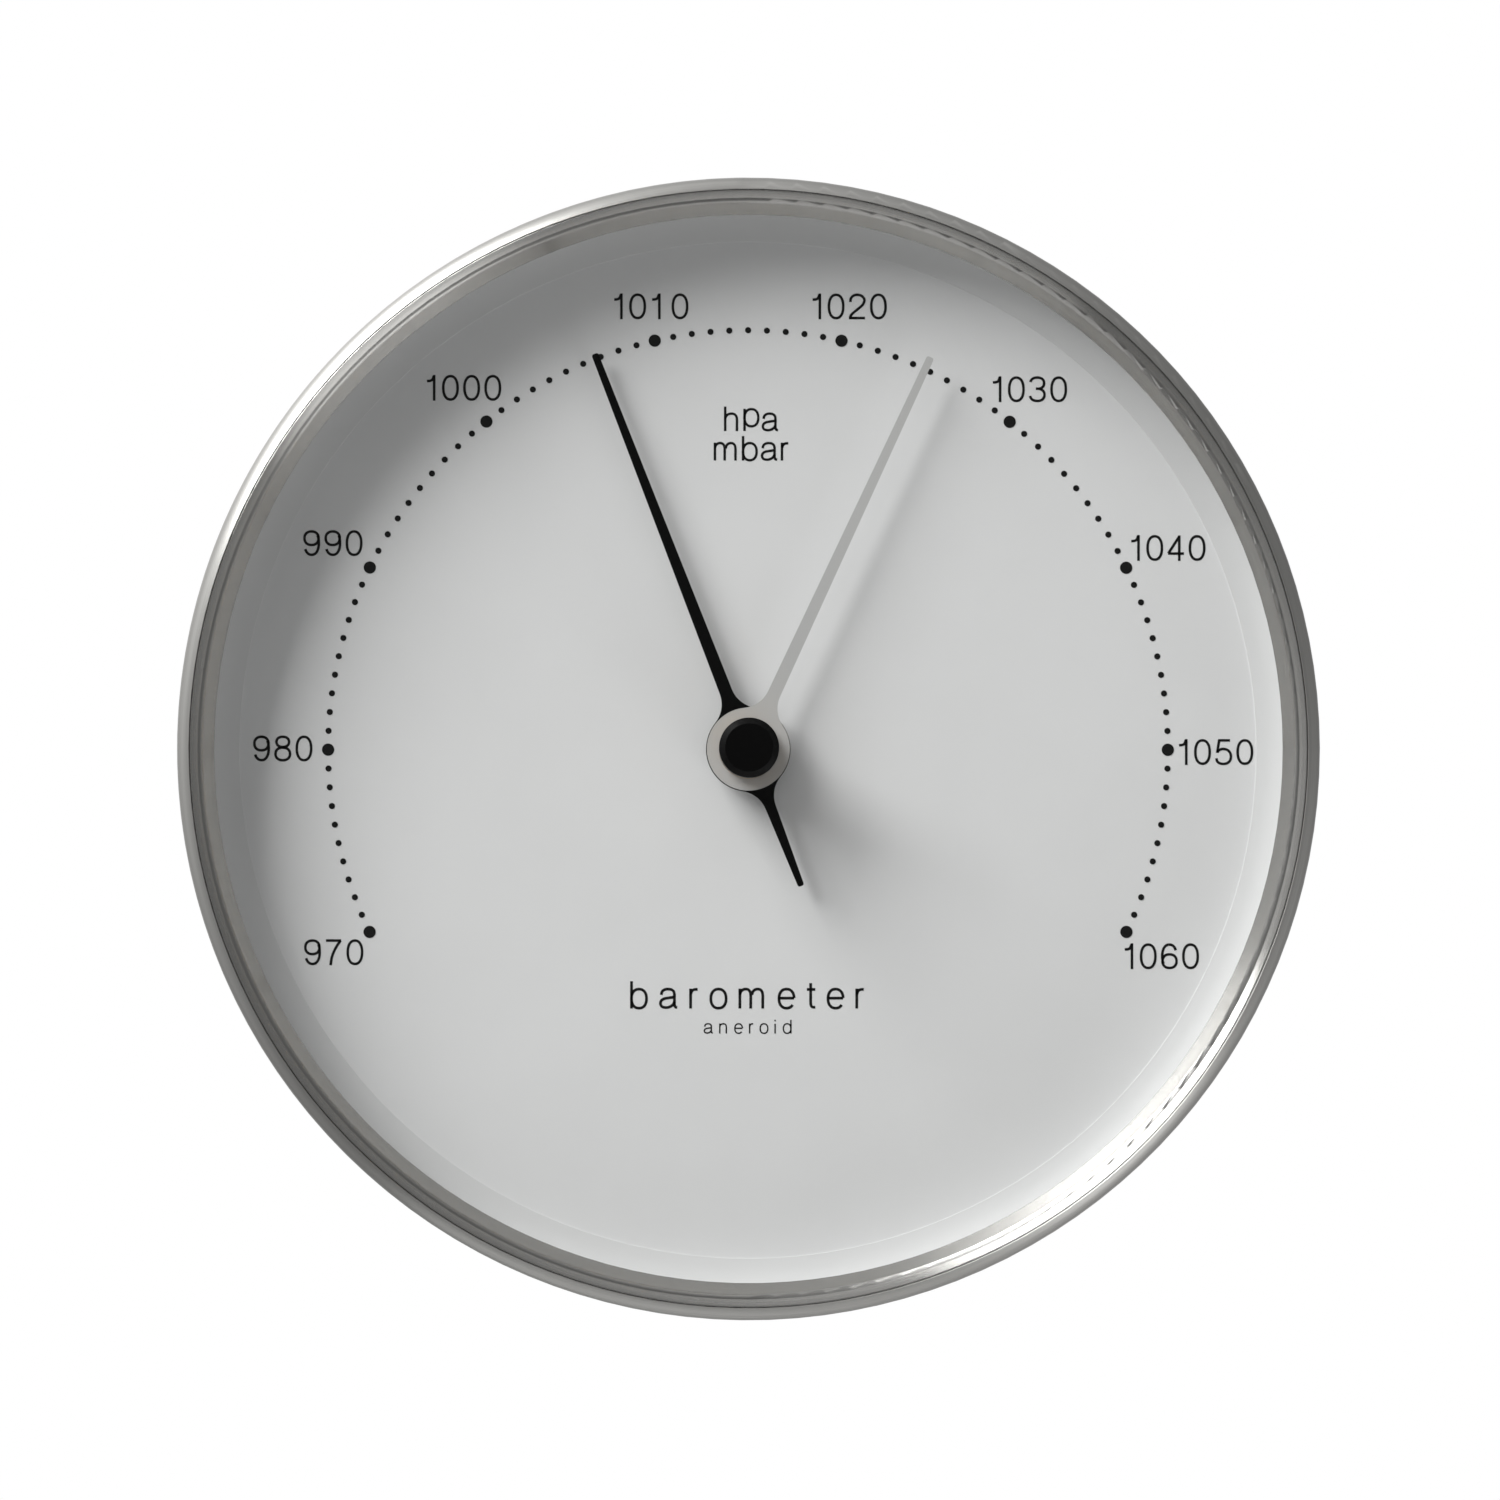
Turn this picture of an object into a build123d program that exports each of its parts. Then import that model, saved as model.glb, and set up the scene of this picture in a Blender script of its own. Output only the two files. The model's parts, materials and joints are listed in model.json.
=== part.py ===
from build123d import *

import os
from math import acos, cos, degrees, hypot, pi, radians, sin, sqrt, tan

# Wall barometer: a steel drum case with a white dial, a black indicating hand, a grey set hand turned by a
# knob through the glass, and an aneroid movement behind the dial.
#
# Frame: +Z up, the dial faces -Y, the origin is where the dial's axis meets the wall. A height is a distance
# from the wall towards the viewer, so height h is y = -h. Clockwise is as seen from the front. Millimetres.

os.makedirs("parts", exist_ok=True)

# ---------------------------------------------------------------- driving dimensions
case_radius = 50.0
case_wall = 0.8
rear_round = 1.2
crest_height = 30.0  # of the rim's highest line, where the case and the bezel meet
shoulder_width = 1.13  # of the case's rounded front edge
seam_lean = radians(25)  # by which that edge already slopes away where it meets the bezel
seam_gap = 0.04
inner_gap = 0.03  # between the case's mouth and what is dropped in through it

window_radius = 46.77
glass_radius = 47.6
glass_thickness = 2.0
glass_top = 27.8
glass_clearance = 0.1
gasket_thickness = 0.3
spindle_hole_radius = 1.6  # in the glass

dial_front = 21.8
dial_thickness = 0.8
ring_bore_radius = 44.82

cover_thickness = 2.6
cover_radius = 48.3
cover_gap = 0.05
lip_height = 0.8

# scale: degrees are clockwise from the top of the dial
degrees_per_hpa = 180 / 70
middle_reading = 1015
scale_low = 970
scale_high = 1060
shown_reading = 1006.75
set_reading = 1024.7
scale_radius = 37.0
small_dot_radius = 0.27
large_dot_radius = 0.54
ink_thickness = 0.03

# hands
hand_thickness = 0.25
hand_height = 23.3
hand_hub_radius = 3.72
hand_length = 37.35
hand_tail = 12.9
set_hand_height = 24.55
set_hand_hub_radius = 3.65
set_hand_length = 38.0
arbor_radius = 0.6
arbor_top = 24.0
pivot_radius = 0.3

# setting knob
knob_radius = 2.62
knob_low = 28.4
knob_top = 33.0
shaft_radius = 0.8

# gear pair between the sector and the hand's arbor
module = 0.2
pressure_angle = radians(20)
pinion_teeth = 12
sector_teeth = 192  # of a whole wheel; the sector carries the middle ones
sector_teeth_cut = 15
tooth_thinning = 0.03

# movement layout, seen from the front
base_low = 3.0
base_top = 4.4
base_radius = 29.5
train_low = 15.6
train_top = 16.6
train_radius = 27.8
bridge_low = 19.4
bridge_top = 20.2
rocker_height = 13.1
rocker_z = -12.1
rocker_left = -13.4
rocker_right = 3.4
rocker_radius = 0.7
sleeve_radius = 1.15  # of what is pressed onto the rocking shaft
lug_thickness = 1.2
sector_low = 17.2
sector_thickness = 0.8
finger_radius = 0.4
tail_half_width = 0.5
contact_gap = 0.06
lift_arm_length = 4.0
lift_arm_half_thickness = 0.4
capsule_stroke = 0.9  # over the whole scale
capsule_radius = 17.0
capsule_low = 5.6
capsule_high = 10.0
leaf_low = 10.6
leaf_thickness = 0.6
anchor_z = 17.0

# ---------------------------------------------------------------- worked out from them
mouth_radius = case_radius - shoulder_width  # of the opening that the bezel fills
drop_in_radius = mouth_radius - inner_gap
glass_low = glass_top - glass_thickness
spacer_top = glass_low - gasket_thickness
dial_back = dial_front - dial_thickness
glass_seat_radius = glass_radius + glass_clearance

pinion_pitch_radius = module * pinion_teeth / 2
sector_pitch_radius = module * sector_teeth / 2
centre_distance = pinion_pitch_radius + sector_pitch_radius
gear_ratio = sector_teeth / pinion_teeth

hand_angle = (shown_reading - middle_reading) * degrees_per_hpa
set_hand_angle = (set_reading - middle_reading) * degrees_per_hpa
sector_turn = -hand_angle / gear_ratio  # clockwise, from the middle of the scale

scale_sweep = radians((scale_high - scale_low) * degrees_per_hpa)
rocker_per_radian = capsule_stroke / lift_arm_length / scale_sweep
rocker_turn = -rocker_per_radian * hand_angle  # about +X, from the middle of the scale
stud_lift = lift_arm_length * tan(radians(rocker_turn))

sector_top = sector_low + sector_thickness
sector_middle = (sector_low + sector_top) / 2
tail_length = gear_ratio * rocker_per_radian * (sector_middle - rocker_height)
sector_z = rocker_z - finger_radius - tail_half_width - contact_gap
sector_x = -sqrt(centre_distance**2 - sector_z**2)
sector_direction = degrees(acos(-sector_x / centre_distance))  # from the sector's axis to the dial's
finger_x = sector_x + tail_length
capsule_z = rocker_z + lift_arm_length
leaf_top = leaf_low + leaf_thickness


def front(height, x=0.0, z=0.0):
    """A plane facing the viewer, with its x to the right and its y up."""
    return Plane(origin=(x, -height, z), x_dir=(1, 0, 0), z_dir=(0, -1, 0))


def turned_front(height, clockwise, x=0.0, z=0.0):
    """The same, turned clockwise by an angle in degrees."""
    a = radians(clockwise)
    return Plane(origin=(x, -height, z), x_dir=(cos(a), 0, -sin(a)), z_dir=(0, -1, 0))


def section_at(x=0.0, z=0.0):
    """The plane for the profile of something round about an axis at x, z: its x is radius, its y height."""
    return Plane(origin=(x, 0, z), x_dir=(1, 0, 0), z_dir=(0, 0, -1))


def axis_at(x=0.0, z=0.0):
    return Axis((x, 0, z), (0, 1, 0))


def turn(outline, x=0.0, z=0.0):
    """Adds a turned solid to the open part, from a closed outline of (radius, height) points."""
    with BuildSketch(section_at(x, z)) as section:
        with BuildLine():
            Polyline(*outline, close=True)
        make_face()
    revolve(section.sketch, axis=axis_at(x, z))


def tube(inner, outer, low, high, x=0.0, z=0.0):
    """Adds a plain ring or tube to the open part."""
    turn([(inner, low), (outer, low), (outer, high), (inner, high)], x, z)


# ---------------------------------------------------------------- case
with BuildPart() as case_shell:
    inner_radius = case_radius - case_wall
    opening_radius = cover_radius + cover_gap
    inner_round = shoulder_width - case_wall
    lip_break = 0.07  # takes the sharp edge off the mouth
    shoulder_start = mouth_radius + lip_break
    shoulder_radius = (case_radius - shoulder_start) / (1 - sin(seam_lean))
    shoulder_low = crest_height - shoulder_radius * cos(seam_lean)
    with BuildSketch(section_at()):
        with BuildLine():
            Line((opening_radius, 0), (case_radius - rear_round, 0))
            RadiusArc((case_radius - rear_round, 0), (case_radius, rear_round), -rear_round)
            Line((case_radius, rear_round), (case_radius, shoulder_low))
            RadiusArc((case_radius, shoulder_low), (shoulder_start, crest_height), -shoulder_radius)
            Polyline(
                (shoulder_start, crest_height),
                (mouth_radius, crest_height - lip_break),
                (mouth_radius, shoulder_low + inner_round),
            )
            RadiusArc((mouth_radius, shoulder_low + inner_round), (inner_radius, shoulder_low), inner_round)
            Polyline(
                (inner_radius, shoulder_low),
                (inner_radius, lip_height),
                (opening_radius, lip_height),
                (opening_radius, 0),
            )
        make_face()
    revolve(axis=Axis.Y)
case_shell.part.label = "case_shell"
export_step(case_shell.part, "parts/case_shell.step")

# the bezel: a slope up from the glass, a narrow ledge, and a low ridge that meets the case at the seam
with BuildPart() as bezel_ring:
    bezel_radius = mouth_radius - seam_gap
    skirt_low = 24.0
    slope_end = (47.68, 29.33)
    ledge_end = (48.14, 29.58)
    ridge_top = (bezel_radius - lip_break, crest_height - 0.03)
    with BuildSketch(section_at()):
        with BuildLine():
            Polyline((glass_seat_radius, glass_top), (window_radius, glass_top), slope_end)
            ThreePointArc(slope_end, (47.89, 29.53), ledge_end)
            ThreePointArc(ledge_end, (48.44, 29.8), ridge_top)
            Polyline(
                ridge_top,
                (bezel_radius, crest_height - lip_break),
                (bezel_radius, skirt_low),
                (glass_seat_radius, skirt_low),
                (glass_seat_radius, glass_top),
            )
        make_face()
    revolve(axis=Axis.Y)
bezel_ring.part.label = "bezel_ring"
export_step(bezel_ring.part, "parts/bezel_ring.step")

with BuildPart() as glass_lens:
    edge_bevel = 0.2
    with BuildSketch(front(glass_low)):
        Circle(glass_radius)
        Circle(spindle_hole_radius, mode=Mode.SUBTRACT)
    extrude(amount=glass_thickness)
    chamfer(glass_lens.edges().filter_by(GeomType.CIRCLE), length=edge_bevel)
glass_lens.part.label = "glass_lens"
export_step(glass_lens.part, "parts/glass_lens.step")

ring_wall_radius = 47.08
with BuildPart() as glass_gasket:
    tube(ring_wall_radius, glass_radius, spacer_top, glass_low)
glass_gasket.part.label = "glass_gasket"
export_step(glass_gasket.part, "parts/glass_gasket.step")

# the white ring: a dished flange that covers the dial's edge, with the wall that carries the glass
with BuildPart() as spacer_ring:
    flange_edge = (ring_bore_radius, dial_front + 0.3)
    flange_middle = (45.95, dial_front + 0.6)
    flange_root = (ring_wall_radius, dial_front + 1.0)
    with BuildSketch(section_at()):
        with BuildLine():
            Polyline(
                flange_root,
                (ring_wall_radius, spacer_top),
                (glass_radius, spacer_top),
                (glass_radius, dial_front),
                (ring_bore_radius, dial_front),
                flange_edge,
            )
            ThreePointArc(flange_edge, flange_middle, flange_root)
        make_face()
    revolve(axis=Axis.Y)
spacer_ring.part.label = "spacer_ring"
export_step(spacer_ring.part, "parts/spacer_ring.step")

# the holder ring carries the dial and takes the rear cover's screws
cover_screw_places = PolarLocations(43.5, 3, start_angle=30)
with BuildPart() as holder_ring:
    holder_bore = 46.0
    dial_wall_top = skirt_low - 0.05
    boss_height = 9.4
    boss_radius = 2.8
    screw_hole_radius = 0.95
    with BuildSketch(section_at()):
        with BuildLine():
            Polyline(
                (holder_bore, cover_thickness),
                (drop_in_radius, cover_thickness),
                (drop_in_radius, dial_wall_top),
                (glass_seat_radius, dial_wall_top),
                (glass_seat_radius, dial_back),
                (holder_bore, dial_back),
                close=True,
            )
        make_face()
    revolve(axis=Axis.Y)
    with BuildSketch(front(cover_thickness)):
        with cover_screw_places:
            Circle(boss_radius)
            with Locations((1.9, 0)):  # the web that joins the boss to the ring
                Rectangle(3.8, 3.0)
    extrude(amount=boss_height)
    with BuildSketch(front(cover_thickness)):
        with cover_screw_places:
            Circle(screw_hole_radius)
    extrude(amount=boss_height - 1.4, mode=Mode.SUBTRACT)
holder_ring.part.label = "holder_ring"
export_step(holder_ring.part, "parts/holder_ring.step")

# ---------------------------------------------------------------- rear cover
movement_screw_places = PolarLocations(24.0, 3, start_angle=90)
screw_head_radius = 1.9
screw_recess = 1.3
with BuildPart() as rear_cover:
    keyhole_z = 35.0
    keyhole_radius = 3.6
    keyhole_slot_radius = 1.9
    keyhole_slot_top = 41.0
    adjuster_hole_radius = 2.8
    pad_radius = 3.5  # of the pads that the movement stands on
    vent_circle = 37.0
    vent_radius = 0.9
    with BuildSketch(front(0)):
        Circle(cover_radius)
    extrude(amount=cover_thickness)
    with BuildSketch(front(lip_height)):
        Circle(drop_in_radius)
    extrude(amount=cover_thickness - lip_height)
    with BuildSketch(front(cover_thickness)):
        with movement_screw_places:
            Circle(pad_radius)
    extrude(amount=base_low - cover_thickness)
    with BuildSketch(front(0)):
        with Locations((0, keyhole_z)):
            Circle(keyhole_radius)
        with Locations((0, (keyhole_z + keyhole_slot_top) / 2)):
            Rectangle(2 * keyhole_slot_radius, keyhole_slot_top - keyhole_z)
        with Locations((0, keyhole_slot_top)):
            Circle(keyhole_slot_radius)
        with Locations((0, capsule_z)):
            Circle(adjuster_hole_radius)
        with cover_screw_places:
            Circle(1.15)
        with movement_screw_places:
            Circle(1.05)
        with PolarLocations(vent_circle, 5, start_angle=250, angular_range=40, endpoint=True):
            Circle(vent_radius)
    extrude(amount=base_low, mode=Mode.SUBTRACT)
    with BuildSketch(front(0)):
        with cover_screw_places:
            Circle(screw_head_radius + 0.2)
        with movement_screw_places:
            Circle(screw_head_radius + 0.2)
    extrude(amount=screw_recess, mode=Mode.SUBTRACT)
    with BuildSketch(front(0)):  # a shallow moulded ring near the edge
        Circle(47.0)
        Circle(46.4, mode=Mode.SUBTRACT)
    extrude(amount=0.3, mode=Mode.SUBTRACT)
rear_cover.part.label = "rear_cover"
export_step(rear_cover.part, "parts/rear_cover.step")


def rear_screws(places, tip_height):
    """Adds pan-head screws, driven from the back, each with a cross recess, to the open part."""
    head_low = 0.3
    with BuildSketch(front(head_low)) as heads:
        with places:
            Circle(screw_head_radius)
    extrude(heads.sketch, amount=screw_recess - head_low)
    rims = BuildPart._get_context().edges().filter_by(GeomType.CIRCLE).group_by(Axis.Y)[-1]
    fillet(rims, radius=0.35)
    with BuildSketch(front(screw_recess)) as shanks:
        with places:
            Circle(0.9)
    extrude(shanks.sketch, amount=tip_height - screw_recess)
    with BuildSketch(front(head_low)) as crosses:
        with places:
            Rectangle(2.1, 0.45)
            Rectangle(0.45, 2.1)
    extrude(crosses.sketch, amount=0.6, mode=Mode.SUBTRACT)


with BuildPart() as rear_cover_screws:
    rear_screws(cover_screw_places, tip_height=9.0)
rear_cover_screws.part.label = "rear_cover_screws"
export_step(rear_cover_screws.part, "parts/rear_cover_screws.step")

with BuildPart() as movement_screws:
    rear_screws(movement_screw_places, tip_height=base_top - 0.1)
movement_screws.part.label = "movement_screws"
export_step(movement_screws.part, "parts/movement_screws.step")

# ---------------------------------------------------------------- dial
with BuildPart() as dial_plate:
    arbor_hole_radius = 1.8
    with BuildSketch(front(dial_back)):
        Circle(glass_radius)
        Circle(arbor_hole_radius, mode=Mode.SUBTRACT)
    extrude(amount=dial_thickness)
dial_plate.part.label = "dial_plate"
export_step(dial_plate.part, "parts/dial_plate.step")

with BuildPart() as scale_dots:
    with BuildSketch(front(dial_front)):
        for reading in range(scale_low, scale_high + 1):
            angle = radians((reading - middle_reading) * degrees_per_hpa)
            with Locations((scale_radius * sin(angle), scale_radius * cos(angle))):
                Circle(large_dot_radius if reading % 10 == 0 else small_dot_radius)
    extrude(amount=ink_thickness)
scale_dots.part.label = "scale_dots"
export_step(scale_dots.part, "parts/scale_dots.step")


# ---------------------------------------------------------------- hands
def arm(length, root_width, tip_width):
    """A tapered arm from the hub's centre along +y, in the sketch that is open."""
    Polygon(
        (-root_width / 2, 0),
        (root_width / 2, 0),
        (tip_width / 2, length),
        (-tip_width / 2, length),
        align=None,
    )


def soften(sketch, tips, hub):
    """Rounds the tips of a hand's arms, and blends the arms into a hub of the radius given."""
    tip_corners = [v for v in sketch.vertices() if abs(v.Y) in tips]
    fillet(tip_corners, radius=0.2)
    roots = [v for v in sketch.vertices() if abs(hypot(v.X, v.Y) - hub) < 0.001]
    fillet(roots, radius=2.6)


arm_root_width = 1.24
with BuildPart() as indicator_hand:
    with BuildSketch(turned_front(hand_height, hand_angle)) as hand_outline:
        Circle(hand_hub_radius)
        arm(hand_length, arm_root_width, tip_width=0.62)
        arm(-hand_tail, arm_root_width, tip_width=0.56)
        soften(hand_outline, (hand_length, hand_tail), hand_hub_radius)
        Circle(1.1, mode=Mode.SUBTRACT)
    extrude(amount=hand_thickness)
indicator_hand.part.label = "indicator_hand"
export_step(indicator_hand.part, "parts/indicator_hand.step")

with BuildPart() as set_hand:
    with BuildSketch(turned_front(set_hand_height, set_hand_angle)) as hand_outline:
        Circle(set_hand_hub_radius)
        arm(set_hand_length, arm_root_width, tip_width=0.66)
        soften(hand_outline, (set_hand_length,), set_hand_hub_radius)
        Circle(1.2, mode=Mode.SUBTRACT)
    extrude(amount=hand_thickness)
set_hand.part.label = "set_hand"
export_step(set_hand.part, "parts/set_hand.step")

with BuildPart() as set_knob:
    knob_chamfer = 0.52
    socket_depth = 2.6
    with BuildSketch(front(knob_low)):
        Circle(knob_radius)
    extrude(amount=knob_top - knob_low)
    chamfer(set_knob.edges().filter_by(GeomType.CIRCLE).group_by(Axis.Y)[0], length=knob_chamfer)
    with BuildSketch(front(knob_low)):
        Circle(shaft_radius)
    extrude(amount=socket_depth, mode=Mode.SUBTRACT)
set_knob.part.label = "set_knob"
export_step(set_knob.part, "parts/set_knob.step")

with BuildPart() as set_shaft:
    tube(0, shaft_radius, 24.25, knob_low + socket_depth)
set_shaft.part.label = "set_shaft"
export_step(set_shaft.part, "parts/set_shaft.step")

boss_top = 25.15
washer_top = 25.3
with BuildPart() as set_hand_boss:
    set_hand_top = set_hand_height + hand_thickness
    turn([
        (shaft_radius, 24.3),
        (1.2, 24.3),
        (1.2, set_hand_top),
        (1.9, set_hand_top),
        (1.9, boss_top),
        (shaft_radius, boss_top),
    ])
set_hand_boss.part.label = "set_hand_boss"
export_step(set_hand_boss.part, "parts/set_hand_boss.step")

with BuildPart() as friction_washer:
    tube(1.0, 1.9, boss_top, washer_top)
friction_washer.part.label = "friction_washer"
export_step(friction_washer.part, "parts/friction_washer.step")

bush_bore = 0.85
bush_top = 28.3
bush_stem_radius = 1.55
with BuildPart() as knob_bush:
    turn([
        (bush_bore, washer_top),
        (2.6, washer_top),
        (2.6, glass_low),
        (bush_stem_radius, glass_low),
        (bush_stem_radius, bush_top),
        (bush_bore, bush_top),
    ])
knob_bush.part.label = "knob_bush"
export_step(knob_bush.part, "parts/knob_bush.step")

with BuildPart() as bush_nut:
    tube(bush_stem_radius, 2.4, glass_top, bush_top)
bush_nut.part.label = "bush_nut"
export_step(bush_nut.part, "parts/bush_nut.step")

# ---------------------------------------------------------------- the indicating hand's arbor
pivot_low = train_low + 0.1
pivot_shoulder = train_top + 0.1
collet_radius = 1.1
with BuildPart() as pointer_arbor:
    turn([
        (0, pivot_low),
        (pivot_radius, pivot_low),
        (pivot_radius, pivot_shoulder),
        (arbor_radius, pivot_shoulder),
        (arbor_radius, arbor_top),
        (0, arbor_top),
    ])
pointer_arbor.part.label = "pointer_arbor"
export_step(pointer_arbor.part, "parts/pointer_arbor.step")

with BuildPart() as hand_collet:
    collet_low = 22.0
    shoulder_height = 22.9
    collet_top = hand_height + hand_thickness + 0.25
    turn([
        (arbor_radius, collet_low),
        (collet_radius, collet_low),
        (collet_radius, shoulder_height),
        (1.6, shoulder_height),
        (1.6, hand_height),
        (collet_radius, hand_height),
        (collet_radius, collet_top),
        (arbor_radius, collet_top),
    ])
hand_collet.part.label = "hand_collet"
export_step(hand_collet.part, "parts/hand_collet.step")

with BuildPart() as hairspring_collet:
    tube(arbor_radius, collet_radius, 18.4, 19.1)
hairspring_collet.part.label = "hairspring_collet"
export_step(hairspring_collet.part, "parts/hairspring_collet.step")


# ---------------------------------------------------------------- gears
def involute(angle):
    return tan(angle) - angle


def tooth_half_angle(radius, pitch_radius, teeth):
    """Half of the angle that a tooth covers at a radius. Below the base circle the flank is radial."""
    base_radius = pitch_radius * cos(pressure_angle)
    at_pitch = pi / (2 * teeth) - tooth_thinning / (2 * pitch_radius)
    at_radius = acos(base_radius / max(radius, base_radius))
    return at_pitch + involute(pressure_angle) - involute(at_radius)


def tooth(middle, pitch_radius, teeth, root_radius, tip_radius):
    """The points of one tooth, in turn anticlockwise round the wheel."""
    steps = 4
    radii = [root_radius + (tip_radius - root_radius) * i / steps for i in range(steps + 1)]
    rising = [(r, middle - tooth_half_angle(r, pitch_radius, teeth)) for r in radii]
    falling = [(r, middle + tooth_half_angle(r, pitch_radius, teeth)) for r in reversed(radii)]
    return [(r * cos(a), r * sin(a)) for r, a in rising + falling]


with BuildPart() as pointer_pinion:
    pinion_low = 16.9
    pinion_width = 1.4
    pinion_root = pinion_pitch_radius - 0.19
    pinion_tip = pinion_pitch_radius + 0.2
    first_gap = radians(sector_direction + 180)
    points = []
    for i in range(pinion_teeth):
        middle = first_gap + (i + 0.5) * 2 * pi / pinion_teeth
        points += tooth(middle, pinion_pitch_radius, pinion_teeth, pinion_root, pinion_tip)
    with BuildSketch(turned_front(pinion_low, hand_angle)):
        with BuildLine():
            Polyline(*points, close=True)
        make_face()
        Circle(arbor_radius, mode=Mode.SUBTRACT)
    extrude(amount=pinion_width)
pointer_pinion.part.label = "pointer_pinion"
export_step(pointer_pinion.part, "parts/pointer_pinion.step")

with BuildPart() as sector_gear:
    sector_root = sector_pitch_radius - 0.26
    sector_tip = sector_pitch_radius + 0.13
    rim_inner = 17.2
    hub_radius = 2.4
    spoke_width = 1.2
    pitch = 2 * pi / sector_teeth
    middle_angle = radians(sector_direction)
    half_span = (sector_teeth_cut + 0.6) / 2 * pitch
    rim_start = middle_angle - half_span
    rim_end = middle_angle + half_span
    points = []
    for i in range(sector_teeth_cut):
        middle = middle_angle + (i - sector_teeth_cut // 2) * pitch
        points += tooth(middle, sector_pitch_radius, sector_teeth, sector_root, sector_tip)
    with BuildSketch(turned_front(sector_low, sector_turn, sector_x, sector_z)):
        with BuildLine():
            Polyline(
                (rim_inner * cos(rim_start), rim_inner * sin(rim_start)),
                (sector_root * cos(rim_start), sector_root * sin(rim_start)),
                *points,
                (sector_root * cos(rim_end), sector_root * sin(rim_end)),
                (rim_inner * cos(rim_end), rim_inner * sin(rim_end)),
            )
            ThreePointArc(
                (rim_inner * cos(rim_end), rim_inner * sin(rim_end)),
                (rim_inner * cos(middle_angle), rim_inner * sin(middle_angle)),
                (rim_inner * cos(rim_start), rim_inner * sin(rim_start)),
            )
        make_face()
        Circle(hub_radius)
        for side in (-1, 1):
            spoke = middle_angle + side * 0.55 * half_span
            spoke_middle = rim_inner / 2 + 0.3
            with Locations(Location((spoke_middle * cos(spoke), spoke_middle * sin(spoke)), degrees(spoke))):
                Rectangle(rim_inner, spoke_width)
        with Locations((tail_length / 2 + 0.5, 0)):
            Rectangle(tail_length + 1.0, 2 * tail_half_width)
        Circle(arbor_radius, mode=Mode.SUBTRACT)
    extrude(amount=sector_thickness)
sector_gear.part.label = "sector_gear"
export_step(sector_gear.part, "parts/sector_gear.step")

with BuildPart() as sector_arbor:
    bridge_shoulder = bridge_low - 0.1
    pivot_top = bridge_top - 0.1
    outline = [
        (0, pivot_low),
        (pivot_radius, pivot_low),
        (pivot_radius, pivot_shoulder),
        (arbor_radius, pivot_shoulder),
        (arbor_radius, bridge_shoulder),
        (pivot_radius, bridge_shoulder),
        (pivot_radius, pivot_top),
        (0, pivot_top),
    ]
    turn(outline, sector_x, sector_z)
sector_arbor.part.label = "sector_arbor"
export_step(sector_arbor.part, "parts/sector_arbor.step")

with BuildPart() as sector_collar:
    tube(arbor_radius, 1.6, sector_top, sector_top + 0.6, sector_x, sector_z)
sector_collar.part.label = "sector_collar"
export_step(sector_collar.part, "parts/sector_collar.step")

# ---------------------------------------------------------------- hairspring
strip = 0.12
turns = 5
growth = 0.6  # per turn
spiral_start = collet_radius + strip / 2
spiral_end = spiral_start + turns * growth
spring_low = 18.55
spring_high = 18.95
with BuildPart() as hairspring:
    with BuildSketch(front(spring_low)):
        with BuildLine():
            for edge in (strip / 2, -strip / 2):  # the strip's outer and inner edges, each of half circles
                for i in range(2 * turns):
                    centre = (growth / 2 * (i % 2), 0)
                    CenterArc(centre, spiral_start + i * growth / 2 + edge, 180 * (i % 2), 180)
            Line((spiral_start - strip / 2, 0), (spiral_start + strip / 2, 0))
            Line((spiral_end - strip / 2, 0), (spiral_end + strip / 2, 0))
        make_face()
    extrude(amount=spring_high - spring_low)
hairspring.part.label = "hairspring"
export_step(hairspring.part, "parts/hairspring.step")

with BuildPart() as hairspring_stud:
    stud_radius = 0.35
    stud_low = spring_low - 0.1
    tube(0, stud_radius, stud_low, bridge_low, spiral_end + strip / 2 + stud_radius)
hairspring_stud.part.label = "hairspring_stud"
export_step(hairspring_stud.part, "parts/hairspring_stud.step")


# ---------------------------------------------------------------- rocking shaft
def rocker_plane(x):
    """A plane across the rocking shaft at x."""
    return Plane(origin=(x, -rocker_height, rocker_z), x_dir=(0, 1, 0), z_dir=(1, 0, 0))


def tilted_front(rise):
    """A plane that faces the viewer but for the shaft's tilt, with its x along the shaft's axis."""
    a = radians(rocker_turn)
    facing = (0, -cos(a), -sin(a))
    level = Plane(origin=(0, -rocker_height, rocker_z), x_dir=(1, 0, 0), z_dir=facing)
    return level.offset(rise)


with BuildPart() as rocking_shaft:
    journal_radius = 0.35
    end_play = 0.1
    shaft_length = rocker_right - rocker_left - 2 * end_play
    journal_length = shaft_length + 2 * lug_thickness
    with BuildSketch(rocker_plane(rocker_left + end_play)):
        Circle(rocker_radius)
    extrude(amount=shaft_length)
    with BuildSketch(rocker_plane(rocker_left + end_play - lug_thickness)):
        Circle(journal_radius)
    extrude(amount=journal_length)
rocking_shaft.part.label = "rocking_shaft"
export_step(rocking_shaft.part, "parts/rocking_shaft.step")

with BuildPart() as lift_arm:
    sleeve = 2.6
    arm_width = 2.2
    with BuildSketch(tilted_front(-lift_arm_half_thickness)):
        with Locations((0, lift_arm_length / 2)):
            Rectangle(arm_width, lift_arm_length + arm_width)
    extrude(amount=2 * lift_arm_half_thickness)
    with BuildSketch(rocker_plane(-sleeve / 2)):
        Circle(sleeve_radius)
    extrude(amount=sleeve)
    with BuildSketch(rocker_plane(-sleeve / 2)):
        Circle(rocker_radius)
    extrude(amount=sleeve, mode=Mode.SUBTRACT)
lift_arm.part.label = "lift_arm"
export_step(lift_arm.part, "parts/lift_arm.step")

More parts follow.
